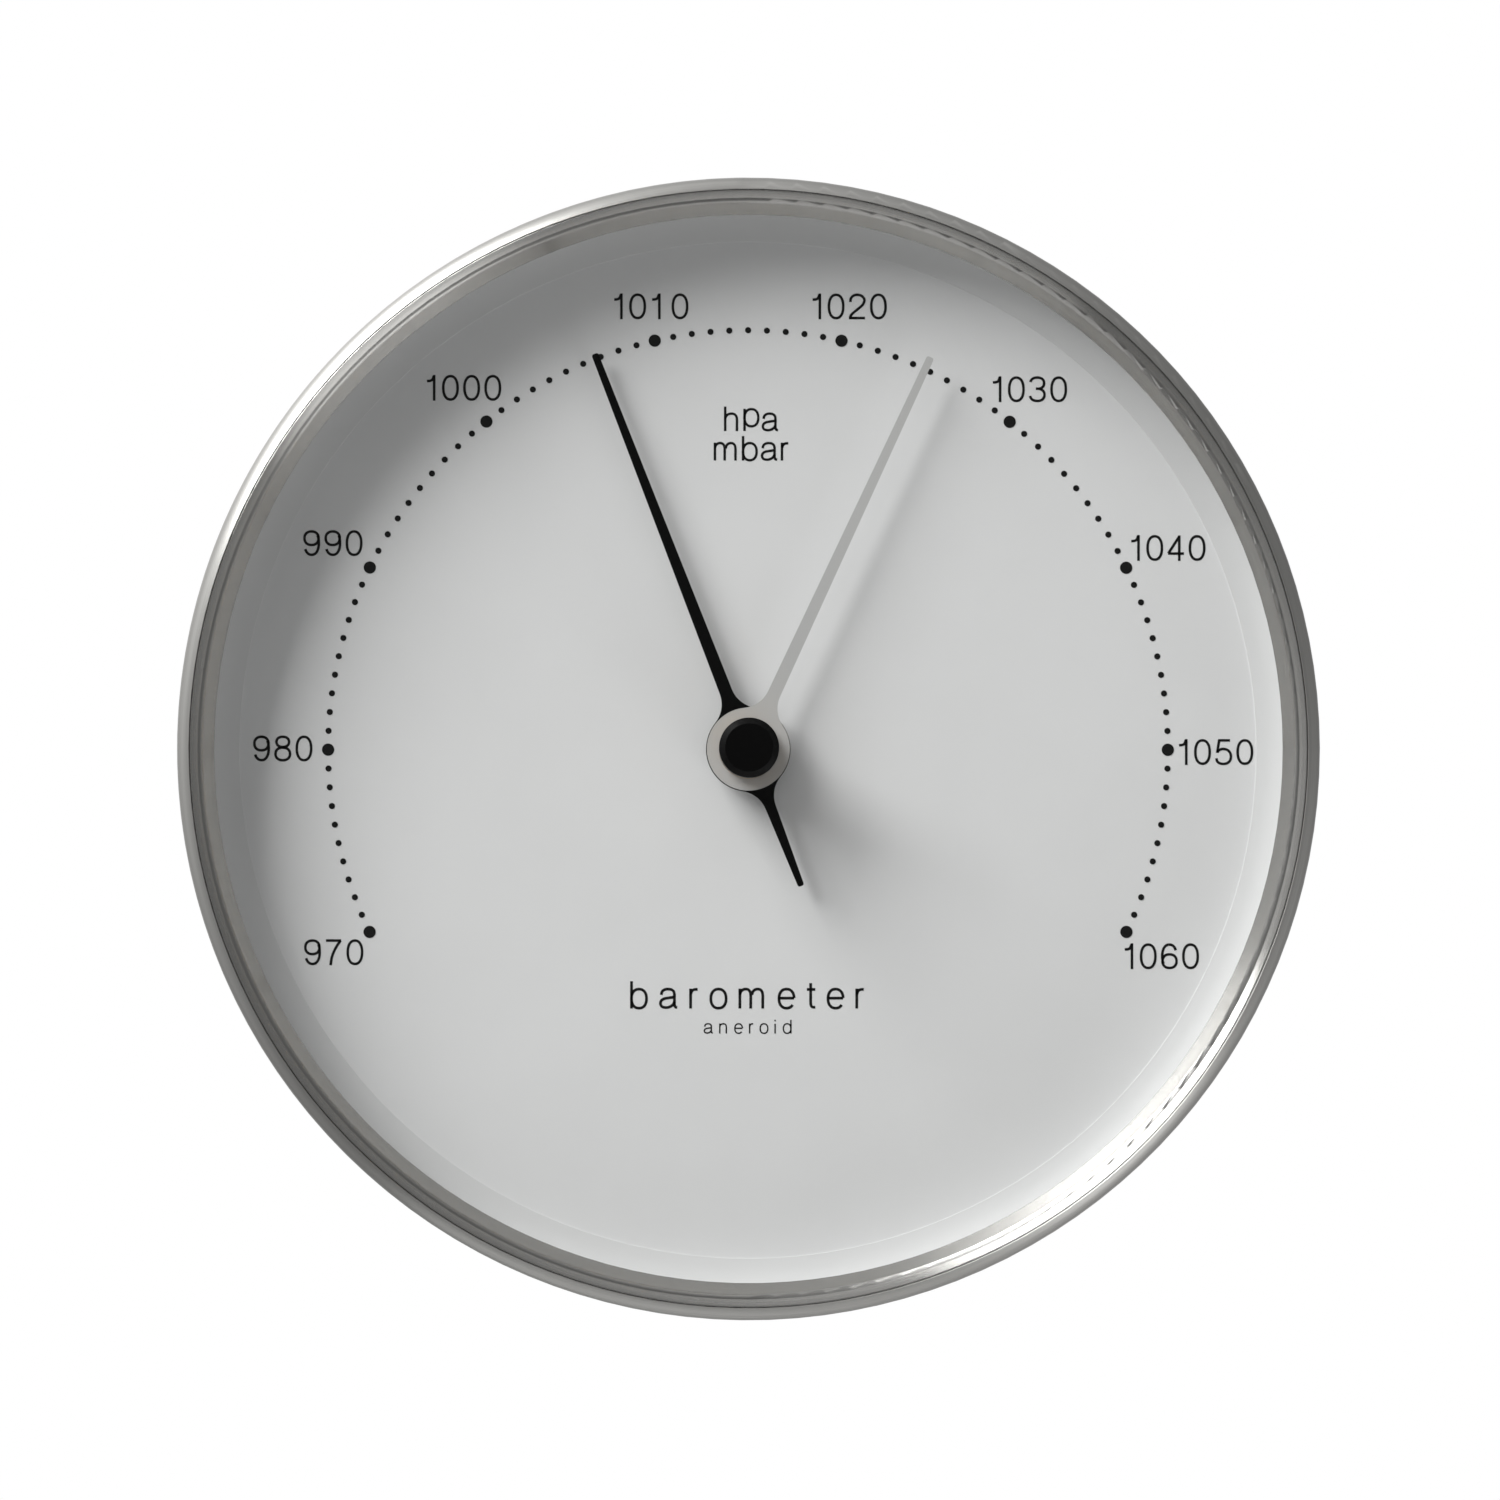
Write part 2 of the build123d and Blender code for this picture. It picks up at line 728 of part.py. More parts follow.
with BuildPart() as push_finger:
    sleeve = 1.6
    finger_length = sector_middle + 0.9 - rocker_height
    with BuildSketch(rocker_plane(finger_x - sleeve / 2)):
        Circle(sleeve_radius)
    extrude(amount=sleeve)
    with BuildSketch(tilted_front(0)):
        with Locations((finger_x, 0)):
            Circle(finger_radius)
    extrude(amount=finger_length)
    with BuildSketch(rocker_plane(finger_x - sleeve / 2)):
        Circle(rocker_radius)
    extrude(amount=sleeve, mode=Mode.SUBTRACT)
push_finger.part.label = "push_finger"
export_step(push_finger.part, "parts/push_finger.step")

# ---------------------------------------------------------------- capsule
sheet = 0.25
cell_height = (capsule_high - capsule_low) / 2


def diaphragm(rim_height, side):
    """The outline of one corrugated sheet, from its rim at mid-cell to its flat centre."""
    crown = cell_height / 2 - sheet
    rim_inner_radius = 15.6
    centre_radius = 4.0
    waves = 4
    wave_length = (rim_inner_radius - centre_radius) / waves
    crest = crown - 0.12  # the two cells touch only at their flat centres
    trough = crown - 0.4
    line = [(capsule_radius, 0.0), (rim_inner_radius, 0.0)]
    for i in range(waves):
        radius = rim_inner_radius - wave_length * (i + 0.35)
        line.append((radius, crest))
        line.append((radius - wave_length * 0.3, trough))
    line += [(centre_radius - 0.6, crown), (0.0, crown)]
    near = [(r, rim_height + side * h) for r, h in line]
    far = [(r, rim_height + side * (h + sheet)) for r, h in reversed(line)]
    return near + far


with BuildPart() as capsule:
    for cell in range(2):
        rim_height = capsule_low + cell_height * (cell + 0.5)
        for side in (-1, 1):
            turn(diaphragm(rim_height, side), 0, capsule_z)
capsule.part.label = "capsule"
export_step(capsule.part, "parts/capsule.step")

with BuildPart() as capsule_base:
    tube(1.5, 4.5, base_top, capsule_low, 0, capsule_z)
capsule_base.part.label = "capsule_base"
export_step(capsule_base.part, "parts/capsule_base.step")

with BuildPart() as capsule_stud:
    seat_radius = 2.4
    thread_radius = 1.2
    thread_top = 12.1
    dome_radius = 0.8
    dome_rise = dome_radius / 2
    sphere = (dome_radius**2 + dome_rise**2) / (2 * dome_rise)
    stud_top = rocker_height - lift_arm_half_thickness - 0.02 + stud_lift
    with BuildSketch(section_at(0, capsule_z)):
        with BuildLine():
            Polyline(
                (0, stud_top),
                (0, capsule_high),
                (seat_radius, capsule_high),
                (seat_radius, leaf_low),
                (thread_radius, leaf_low),
                (thread_radius, thread_top),
                (dome_radius, thread_top),
                (dome_radius, stud_top - dome_rise),
            )
            RadiusArc((dome_radius, stud_top - dome_rise), (0, stud_top), -sphere)
        make_face()
    revolve(axis=axis_at(0, capsule_z))
capsule_stud.part.label = "capsule_stud"
export_step(capsule_stud.part, "parts/capsule_stud.step")

with BuildPart() as stud_nut:
    with BuildSketch(front(leaf_top, 0, capsule_z)):
        RegularPolygon(2.0, 6)
        Circle(thread_radius, mode=Mode.SUBTRACT)
    extrude(amount=0.8)
stud_nut.part.label = "stud_nut"
export_step(stud_nut.part, "parts/stud_nut.step")

leaf_screw_pitch = 9.0
with BuildPart() as spring_anchor:
    with BuildSketch(front(base_top, 0, anchor_z)):
        Rectangle(16, 6)
    extrude(amount=leaf_low - base_top)
    with BuildSketch(front(leaf_low, 0, anchor_z)):
        with GridLocations(leaf_screw_pitch, 0, 2, 1):
            Circle(0.9)
    extrude(amount=-4, mode=Mode.SUBTRACT)
spring_anchor.part.label = "spring_anchor"
export_step(spring_anchor.part, "parts/spring_anchor.step")

with BuildPart() as leaf_spring:
    root_half_width = 8.0
    eye_radius = 3.0
    with BuildSketch(front(leaf_low)):
        Polygon(
            (-root_half_width, anchor_z + 3),
            (root_half_width, anchor_z + 3),
            (root_half_width, anchor_z - 3),
            (eye_radius, capsule_z),
            (-eye_radius, capsule_z),
            (-root_half_width, anchor_z - 3),
            align=None,
        )
        with Locations((0, capsule_z)):
            Circle(eye_radius)
            Circle(1.25, mode=Mode.SUBTRACT)
        with Locations((0, anchor_z)):
            with GridLocations(leaf_screw_pitch, 0, 2, 1):
                Circle(1.0, mode=Mode.SUBTRACT)
    extrude(amount=leaf_thickness)
leaf_spring.part.label = "leaf_spring"
export_step(leaf_spring.part, "parts/leaf_spring.step")


def top_screws(places, seat, head_radius, head_height, shank_radius, depth):
    """Adds slotted cheese-head screws, driven from the front, to the open part."""
    with BuildSketch(front(seat)) as heads:
        with places:
            Circle(head_radius)
    extrude(heads.sketch, amount=head_height)
    with BuildSketch(front(seat)) as shanks:
        with places:
            Circle(shank_radius)
    extrude(shanks.sketch, amount=-depth)
    with BuildSketch(front(seat + head_height)) as slots:
        with places:
            Rectangle(2 * head_radius, 0.35)
    extrude(slots.sketch, amount=-head_height / 2, mode=Mode.SUBTRACT)


with BuildPart() as leaf_spring_screws:
    leaf_screw_places = Locations((-leaf_screw_pitch / 2, anchor_z), (leaf_screw_pitch / 2, anchor_z))
    top_screws(leaf_screw_places, leaf_top, head_radius=1.7, head_height=0.9, shank_radius=0.85, depth=3.6)
leaf_spring_screws.part.label = "leaf_spring_screws"
export_step(leaf_spring_screws.part, "parts/leaf_spring_screws.step")

with BuildPart() as adjusting_screw:
    screw_low = 1.0
    screw_head = 1.6
    screw_shank = 2.8
    with BuildSketch(front(screw_low, 0, capsule_z)):
        Circle(2.3)
    extrude(amount=screw_head)
    with BuildSketch(front(screw_low + screw_head, 0, capsule_z)):
        Circle(1.45)
    extrude(amount=screw_shank)
    with BuildSketch(front(screw_low, 0, capsule_z)):  # the screwdriver slot
        Rectangle(5, 0.6)
    extrude(amount=0.9, mode=Mode.SUBTRACT)
adjusting_screw.part.label = "adjusting_screw"
export_step(adjusting_screw.part, "parts/adjusting_screw.step")

# ---------------------------------------------------------------- plates and pillars
pillar_places = Locations((-22, 9), (22, 9), (15.5, -20), (-15.5, -20))
bridge_places = Locations((7.0, -4.0), (-5.0, 9.0), (-20.0, -17.0))

with BuildPart() as base_plate:
    with BuildSketch(front(base_low)):
        Circle(base_radius)
        with movement_screw_places:
            Circle(0.95, mode=Mode.SUBTRACT)
        with Locations((0, capsule_z)):
            Circle(1.5, mode=Mode.SUBTRACT)
    extrude(amount=base_top - base_low)
base_plate.part.label = "base_plate"
export_step(base_plate.part, "parts/base_plate.step")

with BuildPart() as train_pillars:
    with BuildSketch(front(base_top)):
        with pillar_places:
            Circle(1.75)
    extrude(amount=train_low - base_top)
    with BuildSketch(front(train_low)):
        with pillar_places:
            Circle(0.85)
    extrude(amount=-4, mode=Mode.SUBTRACT)
train_pillars.part.label = "train_pillars"
export_step(train_pillars.part, "parts/train_pillars.step")

with BuildPart() as train_plate:
    bush_hole_radius = 1.0
    lug_width = 4.0
    lug_drop = train_low - rocker_height + 1.3
    with BuildSketch(front(train_low)):
        Circle(train_radius)
        with pillar_places:
            Circle(0.9, mode=Mode.SUBTRACT)
        with bridge_places:
            Circle(0.7, mode=Mode.SUBTRACT)
        with Locations((0, 0), (sector_x, sector_z)):
            Circle(bush_hole_radius, mode=Mode.SUBTRACT)
        with Locations((4, 16)):
            Circle(6.5, mode=Mode.SUBTRACT)
        with Locations((15, -8)):
            Circle(5.5, mode=Mode.SUBTRACT)
        with Locations((finger_x, rocker_z)):  # the slot that the finger comes through
            Rectangle(2.6, 4.6, mode=Mode.SUBTRACT)
    extrude(amount=train_top - train_low)
    for lug_x in (rocker_left - lug_thickness / 2, rocker_right + lug_thickness / 2):
        with BuildSketch(front(train_low, lug_x, rocker_z)):
            Rectangle(lug_thickness, lug_width)
        extrude(amount=-lug_drop)
    with BuildSketch(rocker_plane(rocker_left - lug_thickness)):
        Circle(journal_radius + 0.05)
    extrude(amount=rocker_right - rocker_left + 2 * lug_thickness, mode=Mode.SUBTRACT)
train_plate.part.label = "train_plate"
export_step(train_plate.part, "parts/train_plate.step")

with BuildPart() as train_plate_screws:
    top_screws(pillar_places, train_top, head_radius=1.6, head_height=0.5, shank_radius=0.8, depth=4.0)
train_plate_screws.part.label = "train_plate_screws"
export_step(train_plate_screws.part, "parts/train_plate_screws.step")

with BuildPart() as bridge_pillars:
    spigot_radius = 0.65
    with BuildSketch(front(train_top)):
        with bridge_places:
            Circle(1.4)
    extrude(amount=bridge_low - train_top)
    with BuildSketch(front(train_top)):
        with bridge_places:
            Circle(spigot_radius)
    extrude(amount=train_low - train_top)
    with BuildSketch(front(bridge_low)):
        with bridge_places:
            Circle(spigot_radius)
    extrude(amount=-1.8, mode=Mode.SUBTRACT)
bridge_pillars.part.label = "bridge_pillars"
export_step(bridge_pillars.part, "parts/bridge_pillars.step")

with BuildPart() as upper_bridge:
    with BuildSketch(front(bridge_low)):
        with bridge_places:
            Circle(2.6)
        make_hull()
        with bridge_places:
            Circle(0.7, mode=Mode.SUBTRACT)
        Circle(1.3, mode=Mode.SUBTRACT)
        with Locations((sector_x, sector_z)):
            Circle(bush_hole_radius, mode=Mode.SUBTRACT)
    extrude(amount=bridge_top - bridge_low)
upper_bridge.part.label = "upper_bridge"
export_step(upper_bridge.part, "parts/upper_bridge.step")

with BuildPart() as upper_bridge_screws:
    top_screws(bridge_places, bridge_top, head_radius=1.25, head_height=0.5, shank_radius=0.6, depth=2.4)
upper_bridge_screws.part.label = "upper_bridge_screws"
export_step(upper_bridge_screws.part, "parts/upper_bridge_screws.step")

with BuildPart() as pivot_bushes:
    pivot_bore = pivot_radius + 0.05
    arbor_bore = arbor_radius + 0.05
    tube(pivot_bore, bush_hole_radius, train_low, train_top)
    tube(pivot_bore, bush_hole_radius, train_low, train_top, sector_x, sector_z)
    tube(pivot_bore, bush_hole_radius, bridge_low, bridge_top, sector_x, sector_z)
    tube(arbor_bore, 1.3, bridge_low, bridge_top)
pivot_bushes.part.label = "pivot_bushes"
export_step(pivot_bushes.part, "parts/pivot_bushes.step")
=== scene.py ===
import json
import math

import bpy
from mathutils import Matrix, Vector


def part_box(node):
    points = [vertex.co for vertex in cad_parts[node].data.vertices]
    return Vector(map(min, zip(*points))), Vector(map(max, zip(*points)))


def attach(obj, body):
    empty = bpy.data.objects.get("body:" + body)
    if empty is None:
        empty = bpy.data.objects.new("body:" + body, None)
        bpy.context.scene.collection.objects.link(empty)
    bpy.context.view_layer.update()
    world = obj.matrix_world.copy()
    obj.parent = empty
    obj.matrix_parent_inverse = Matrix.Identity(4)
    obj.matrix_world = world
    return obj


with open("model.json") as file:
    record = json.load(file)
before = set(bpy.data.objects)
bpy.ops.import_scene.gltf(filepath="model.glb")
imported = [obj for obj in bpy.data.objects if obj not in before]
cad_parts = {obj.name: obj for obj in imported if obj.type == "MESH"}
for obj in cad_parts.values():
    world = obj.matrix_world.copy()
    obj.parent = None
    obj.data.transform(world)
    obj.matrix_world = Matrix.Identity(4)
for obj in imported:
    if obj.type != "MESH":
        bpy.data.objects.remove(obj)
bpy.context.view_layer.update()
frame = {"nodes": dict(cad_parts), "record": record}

MM = 0.001
CASE = "case"


# ---------------------------------------------------------------- node helpers
class Graph:
    """A material's nodes, with short calls for the ones used here."""

    def __init__(self, name):
        self.material = bpy.data.materials.new(name)
        self.material.use_nodes = True
        self.tree = self.material.node_tree
        self.tree.nodes.clear()
        self.output = self.tree.nodes.new("ShaderNodeOutputMaterial")

    def node(self, kind, **settings):
        made = self.tree.nodes.new(kind)
        for key, value in settings.items():
            setattr(made, key, value)
        return made

    def put(self, value, socket):
        """Links an output to an input socket, or sets the input to a plain value."""
        if isinstance(value, bpy.types.NodeSocket):
            self.tree.links.new(value, socket)
        else:
            socket.default_value = value

    def math(self, operation, a, b=0.0, clamp=False):
        made = self.node("ShaderNodeMath", operation=operation, use_clamp=clamp)
        self.put(a, made.inputs[0])
        self.put(b, made.inputs[1])
        return made.outputs[0]

    def ramp(self, value, low, high, to_low=0.0, to_high=1.0):
        """Maps low..high to to_low..to_high, held at the ends."""
        made = self.node("ShaderNodeMapRange", clamp=True)
        for socket, v in zip(made.inputs, (value, low, high, to_low, to_high)):
            self.put(v, socket)
        return made.outputs[0]

    def mix(self, factor, a, b):
        made = self.node("ShaderNodeMix", data_type="RGBA")
        self.put(factor, made.inputs["Factor"])
        self.put(a, made.inputs["A"])
        self.put(b, made.inputs["B"])
        return made.outputs["Result"]

    def place(self):
        """Object coordinates: x, y and z in metres in the row frame."""
        coords = self.node("ShaderNodeTexCoord").outputs["Object"]
        split = self.node("ShaderNodeSeparateXYZ")
        self.put(coords, split.inputs[0])
        return coords, split.outputs[0], split.outputs[1], split.outputs[2]

    def noise(self, vector, scale, detail=2.0, roughness=0.5, w=None):
        made = self.node("ShaderNodeTexNoise", noise_dimensions="3D" if w is None else "4D")
        self.put(vector, made.inputs["Vector"])
        self.put(scale, made.inputs["Scale"])
        self.put(detail, made.inputs["Detail"])
        self.put(roughness, made.inputs["Roughness"])
        if w is not None:
            self.put(w, made.inputs["W"])
        return made.outputs["Fac"]

    def vector(self, x, y, z):
        made = self.node("ShaderNodeCombineXYZ")
        for socket, v in zip(made.inputs, (x, y, z)):
            self.put(v, socket)
        return made.outputs[0]

    def bump(self, height, depth, normal=None):
        """A normal from a height of 0..1 that stands for depth metres."""
        made = self.node("ShaderNodeBump")
        self.put(depth, made.inputs["Distance"])
        self.put(height, made.inputs["Height"])
        if normal is not None:
            self.put(normal, made.inputs["Normal"])
        return made.outputs[0]

    def eased_edges(self, radius):
        """A normal that turns smoothly over edges, within radius mm of them."""
        made = self.node("ShaderNodeBevel", samples=6)
        self.put(radius * MM, made.inputs["Radius"])
        return made.outputs[0]

    def principled(self, colour, **inputs):
        made = self.node("ShaderNodeBsdfPrincipled")
        self.put(colour, made.inputs["Base Color"])
        for key, value in inputs.items():
            self.put(value, made.inputs[key.replace("_", " ").title().replace("Ior", "IOR")])
        self.put(made.outputs[0], self.output.inputs["Surface"])


def grey(value, warmth=0.0):
    """A linear grey, slightly warm with warmth above 0."""
    blue_loss = 1.6  # against what red gains
    return (value * (1 + warmth), value, value * (1 - blue_loss * warmth), 1.0)


# ---------------------------------------------------------------- materials
def turned_metal(name, colour, centre=(0.0, 0.0), line=0.09, rough=(0.32, 0.4), anisotropy=0.9, depth=5e-7,
                 tone=0.12, eased=0.0):
    """Metal with fine lines round an axis along Y at centre (x, z), line mm apart, as a lathe or a brush
    leaves. Its edges look eased to a radius of eased mm."""
    g = Graph(name)
    _, x, y, z = g.place()
    dx = g.math("SUBTRACT", x, centre[0])
    dz = g.math("SUBTRACT", z, centre[1])
    radius = g.math("SQRT", g.math("ADD", g.math("MULTIPLY", dx, dx), g.math("MULTIPLY", dz, dz)))
    across = 1 / (line * MM)
    around = 4.0  # how much a line changes on its way round the axis
    along = g.vector(
        g.math("MULTIPLY", g.math("DIVIDE", dx, radius), around),
        g.math("MULTIPLY", g.math("DIVIDE", dz, radius), around),
        g.math("MULTIPLY", radius, across),
    )
    height = g.math("MULTIPLY", y, across)
    coarse = 0.16  # the scale of the broad bands, against the fine lines
    fine_share = 0.65
    fine = g.noise(along, 1.0, detail=3.0, roughness=0.65, w=height)
    broad = g.noise(along, coarse, detail=2.0, w=g.math("MULTIPLY", height, coarse))
    lines = g.math("ADD", g.math("MULTIPLY", fine, fine_share), g.math("MULTIPLY", broad, 1 - fine_share))
    shade = g.ramp(lines, 0.3, 0.7)
    darker = tuple(c * (1 - tone) for c in colour[:3]) + (1.0,)
    lighter = tuple(min(1.0, c * (1 + tone / 2)) for c in colour[:3]) + (1.0,)
    tangent = g.node("ShaderNodeTangent", direction_type="RADIAL", axis="Y").outputs[0]
    g.principled(
        g.mix(shade, darker, lighter),
        metallic=1.0,
        roughness=g.ramp(lines, 0.3, 0.7, rough[1], rough[0]),
        anisotropic=anisotropy,
        anisotropic_rotation=0.25,  # of a turn: the highlights stretch across the lines
        tangent=tangent,
        normal=g.bump(lines, depth, normal=g.eased_edges(eased) if eased else None),
    )
    return g.material


def grained_metal(name, colour, rough=(0.25, 0.42), scale=2500.0, depth=2e-6):
    """Metal with a straight grain along X, for plates and levers."""
    g = Graph(name)
    _, x, y, z = g.place()
    along_grain = 0.06  # how quickly it changes along X, against across it
    stain_scale = 220.0
    grain = g.noise(g.vector(g.math("MULTIPLY", x, along_grain), y, z), scale, detail=3.0)
    stain = g.noise(g.place()[0], stain_scale)
    darker = tuple(c * 0.82 for c in colour[:3]) + (1.0,)
    g.principled(
        g.mix(g.ramp(stain, 0.35, 0.7), colour, darker),
        metallic=1.0,
        roughness=g.ramp(grain, 0.3, 0.7, *rough),
        normal=g.bump(grain, depth),
    )
    return g.material


def lacquer(name, colour, rough=(0.42, 0.5), texture=9000.0, depth=1.2e-6, mottle=0.02, specular=0.5):
    """Sprayed lacquer: a fine orange peel, and a hardly visible change of tone."""
    g = Graph(name)
    coords = g.place()[0]
    peel = g.noise(coords, texture, detail=2.0)
    cloud = g.noise(coords, 90.0, detail=2.0)
    darker = tuple(c * (1 - mottle) for c in colour[:3]) + (1.0,)
    g.principled(
        g.mix(g.ramp(cloud, 0.35, 0.65), darker, colour),
        roughness=g.ramp(peel, 0.3, 0.7, *rough),
        specular_ior_level=specular,
        normal=g.bump(peel, depth),
    )
    return g.material


def moulded_plastic(name, colour, rough=(0.4, 0.55), texture=3500.0, depth=8e-6, specular=0.5):
    """Plastic from a spark-eroded mould: an even fine grain with slightly shinier tops."""
    g = Graph(name)
    coords = g.place()[0]
    pits = g.node("ShaderNodeTexVoronoi", feature="SMOOTH_F1")
    g.put(coords, pits.inputs["Vector"])
    g.put(texture, pits.inputs["Scale"])
    g.put(0.6, pits.inputs["Smoothness"])
    pit_share = 0.7
    grain = g.math("ADD", g.math("MULTIPLY", pits.outputs["Distance"], pit_share),
                   g.math("MULTIPLY", g.noise(coords, texture * 0.6), 1 - pit_share))
    cloud = g.noise(coords, 60.0)
    lighter = tuple(c * 1.25 for c in colour[:3]) + (1.0,)
    g.principled(
        g.mix(g.ramp(cloud, 0.35, 0.65), colour, lighter),
        roughness=g.ramp(grain, 0.2, 0.7, *rough),
        specular_ior_level=specular,
        normal=g.bump(grain, depth),
    )
    return g.material


def clear_glass(name):
    """Thin clear glass: it lets everything through but what the surface mirrors, with faint wipe marks."""
    g = Graph(name)
    marks = g.noise(g.place()[0], 160.0, detail=3.0)
    through = g.node("ShaderNodeBsdfTransparent")
    g.put((0.99, 0.992, 0.99, 1.0), through.inputs["Color"])
    mirror = g.node("ShaderNodeBsdfGlossy")
    g.put(g.ramp(marks, 0.4, 0.8, 0.02, 0.05), mirror.inputs["Roughness"])
    fresnel = g.node("ShaderNodeFresnel")
    from_behind = g.node("ShaderNodeNewGeometry").outputs["Backfacing"]
    index = 1.5
    # inverted on the way out, so that the surface mirrors the same from both sides
    g.put(g.ramp(from_behind, 0.0, 1.0, index, 1 / index), fresnel.inputs["IOR"])
    coating = 0.28  # the share of the mirrored light that its coating leaves
    both = g.node("ShaderNodeMixShader")
    g.put(g.math("MULTIPLY", fresnel.outputs[0], coating), both.inputs[0])
    g.put(through.outputs[0], both.inputs[1])
    g.put(mirror.outputs[0], both.inputs[2])
    g.put(both.outputs[0], g.output.inputs["Surface"])
    return g.material


def node_centre(node):
    low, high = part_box(node)
    return (low + high) / 2


def make_materials():
    steel = (0.45, 0.446, 0.43, 1.0)
    capsule = node_centre("capsule")
    sector = node_centre("sector_arbor")
    brass = (0.72, 0.50, 0.22, 1.0)
    return {
        "brushed_steel_case": turned_metal("brushed_steel_case", steel, line=0.12, rough=(0.33, 0.38),
                                           anisotropy=0.7),
        "brushed_steel_bezel": turned_metal("brushed_steel_bezel", (0.5, 0.495, 0.478, 1.0), line=0.07,
                                            rough=(0.24, 0.28), anisotropy=1.0, eased=0.12),
        "clear_glass": clear_glass("clear_glass"),
        "black_rubber": moulded_plastic("black_rubber", grey(0.02), rough=(0.6, 0.8)),
        "white_ring": lacquer("white_ring", (0.67, 0.672, 0.675, 1.0), rough=(0.35, 0.42), texture=6000.0),
        "white_lacquer": lacquer("white_lacquer", (0.775, 0.777, 0.782, 1.0)),
        "black_ink": lacquer("black_ink", grey(0.006), rough=(0.4, 0.5), specular=0.2),
        "black_lacquer": lacquer("black_lacquer", grey(0.0015), rough=(0.3, 0.4), mottle=0.1, specular=0.08),
        "black_plastic": moulded_plastic("black_plastic", grey(0.026)),
        "black_knob": moulded_plastic("black_knob", grey(0.002), rough=(0.28, 0.4), texture=6000.0,
                                      depth=3e-6, specular=0.1),
        "grey_aluminium": lacquer("grey_aluminium", grey(0.48, 0.004), rough=(0.4, 0.5)),
        "nylon": moulded_plastic("nylon", grey(0.7, 0.03)),
        "turned_brass": turned_metal("turned_brass", brass, line=0.05, anisotropy=0.5),
        "plate_brass": grained_metal("plate_brass", brass),
        "steel_screw": grained_metal("steel_screw", grey(0.55, 0.01)),
        "turned_steel": turned_metal("turned_steel", grey(0.55), (sector.x, sector.z), line=0.05,
                                     anisotropy=0.5),
        "spring_steel": grained_metal("spring_steel", grey(0.3, -0.02)),
        "capsule_silver": turned_metal("capsule_silver", grey(0.6, 0.03), (capsule.x, capsule.z), line=0.15,
                                       anisotropy=0.4),
        "spring_bronze": grained_metal("spring_bronze", (0.6, 0.34, 0.16, 1.0)),
    }


def paint(obj, material):
    """Gives a CAD node its material without touching its mesh."""
    if not obj.material_slots:
        obj.data.materials.append(material)
    for slot in obj.material_slots:
        slot.link = "OBJECT"
        slot.material = material


# ---------------------------------------------------------------- stroke lettering
# A glyph is a list of strokes in units of its height, with the baseline at 0 and the left edge at 0.
STROKE = 0.102


def flow(*points):
    """A smooth line through the points."""
    ends = [points[0], *points, points[-1]]
    line = []
    steps = 6
    for a, b, c, d in zip(ends, ends[1:], ends[2:], ends[3:]):
        for i in range(steps):
            t = i / steps
            line.append(tuple(
                0.5 * (2 * q + (r - p) * t + (2 * p - 5 * q + 4 * r - s) * t**2
                       + (3 * q - p - 3 * r + s) * t**3)
                for p, q, r, s in zip(a, b, c, d)
            ))
    return line + [points[-1]]


def bow(cx, cy, rx, ry, start=0, end=360, squareness=2.25):
    """Part of a slightly squared oval, between two angles in degrees."""
    degrees_per_step = 9
    steps = max(6, round(abs(end - start) / degrees_per_step))
    line = []
    for i in range(steps + 1):
        a = math.radians(start + (end - start) * i / steps)
        c, s = math.cos(a), math.sin(a)
        line.append((
            cx + rx * math.copysign(abs(c) ** (2 / squareness), c),
            cy + ry * math.copysign(abs(s) ** (2 / squareness), s),
        ))
    return line


def half_turn(strokes, width, height=1.0):
    return [[(width - x, height - y) for x, y in line] for line in strokes]


